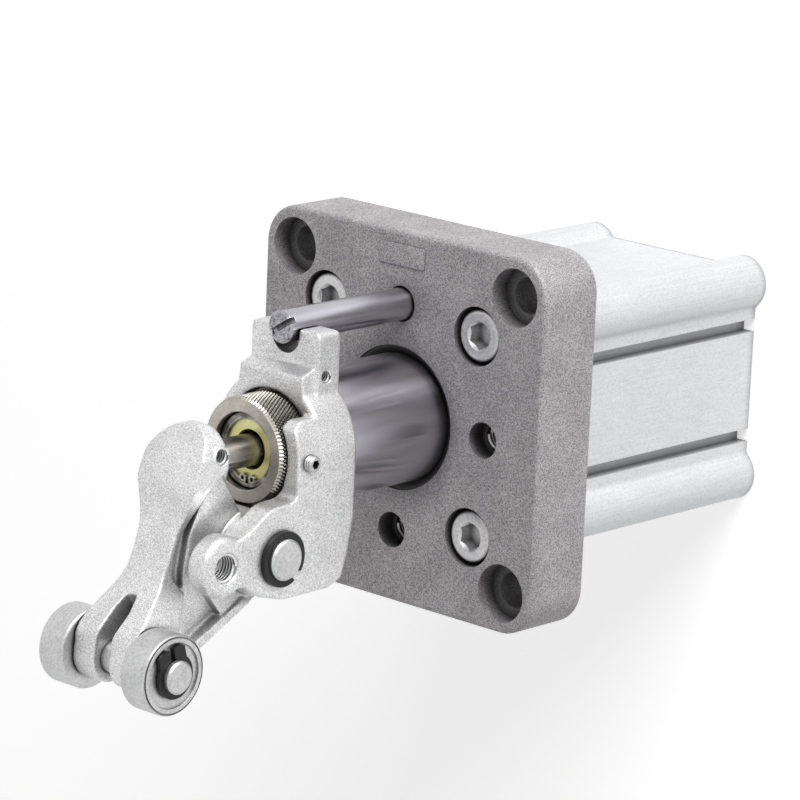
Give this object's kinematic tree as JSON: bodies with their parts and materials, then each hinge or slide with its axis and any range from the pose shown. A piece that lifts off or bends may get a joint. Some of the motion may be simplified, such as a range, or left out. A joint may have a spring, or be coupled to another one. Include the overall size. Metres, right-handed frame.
{
  "type": "stopper cylinder",
  "caption": "Air cylinder with a square flange whose rod carries a sprung tilting lever with two rollers, to stop pallets on a conveyor softly.",
  "frame": {"origin": "centre of the flange's mounting face, on the rod's axis", "axes": "+Z along the rod towards the lever, +Y towards the guide rod, +X towards the side with the dial set screw"},
  "size_m": [0.093, 0.0999, 0.2027],
  "materials": {
    "flange_cast": "grey anodised cast aluminium",
    "tube_anodised": "clear anodised extrusion",
    "bright_cast": "bead-blasted and zinc plated casting",
    "hard_chrome": "hard chromed and ground",
    "zinc_steel": "zinc plated",
    "black_steel": "black oxide",
    "dial_steel": "dull nickel",
    "yellow_zinc": "yellow chromated zinc",
    "absorber_steel": "ground and hardened",
    "spring_steel": "oiled spring wire",
    "bronze": "sintered bronze",
    "machined_aluminium": "turned",
    "seal_rubber": "matte nitrile",
    "bumper_urethane": "amber urethane",
    "wear_resin": "bearing resin",
    "magnet_ferrite": "bonded ferrite"
  },
  "bodies": {
    "barrel": {"cylinder_tube": "tube_anodised", "rod_cover": "flange_cast", "head_plate": "machined_aluminium", "head_snap_ring": "black_steel", "head_o_ring": "seal_rubber", "cover_o_ring": "seal_rubber", "rod_bushing": "bronze", "rod_seal": "seal_rubber", "rod_scraper": "seal_rubber", "top_bumper": "bumper_urethane", "bottom_bumper": "bumper_urethane", "cover_screws": "zinc_steel", "guide_rod": "hard_chrome", "return_spring": "spring_steel"},
    "rod": {"piston_rod": "hard_chrome", "piston": "machined_aluminium", "piston_seal": "seal_rubber", "piston_wear_ring": "wear_resin", "piston_magnet": "magnet_ferrite", "piston_screw": "zinc_steel", "lever_holder": "bright_cast", "rod_lock_screw": "zinc_steel", "dial_set_screw": "zinc_steel", "absorber_body": "absorber_steel", "absorber_gland": "bronze", "absorber_washer": "yellow_zinc", "absorber_snap_ring": "absorber_steel", "absorber_spring": "spring_steel", "lever_pin": "zinc_steel", "lever_pin_ring_right": "black_steel", "lever_pin_ring_left": "black_steel"},
    "dial": {"adjusting_dial": "dial_steel"},
    "plunger": {"absorber_plunger": "absorber_steel"},
    "lever": {"lever": "bright_cast", "lever_bush": "bronze", "roller_pin": "zinc_steel", "roller_ring_right": "black_steel", "roller_ring_left": "black_steel"},
    "roller_right": {"roller_right": "zinc_steel"},
    "roller_left": {"roller_left": "zinc_steel"}
  },
  "joints": [
    {"name": "rod_slide", "type": "slide", "parent": "barrel", "child": "rod", "axis": [0, 0, 1], "range_m": [-0.03, 0], "stiffness_N_per_m": 1500, "springref_m": 0.02, "deforming": ["return_spring"]},
    {"name": "lever_pivot", "type": "hinge", "parent": "rod", "child": "lever", "pos_m": [0, -0.0217, 0.076], "axis": [1, 0, 0], "range_deg": [-24, 0], "stiffness_Nm_per_rad": 0.4, "springref_deg": 34.38},
    {"name": "plunger_slide", "type": "slide", "parent": "rod", "child": "plunger", "axis": [0, 0, 1], "range_m": [-0.0094, 0], "deforming": ["absorber_spring"]},
    {"name": "dial_turn", "type": "hinge", "parent": "rod", "child": "dial", "pos_m": [0, 0, 0.066], "axis": [0, 0, 1], "range_deg": [-150, 150]},
    {"name": "roller_right_spin", "type": "hinge", "parent": "lever", "child": "roller_right", "pos_m": [0, -0.04375, 0.11], "axis": [1, 0, 0], "continuous": true},
    {"name": "roller_left_spin", "type": "hinge", "parent": "lever", "child": "roller_left", "pos_m": [0, -0.04375, 0.11], "axis": [1, 0, 0], "continuous": true}
  ],
  "couplings": [
    {"joint": "plunger_slide", "follows": "lever_pivot", "m_per_rad": 0.02203}
  ]
}
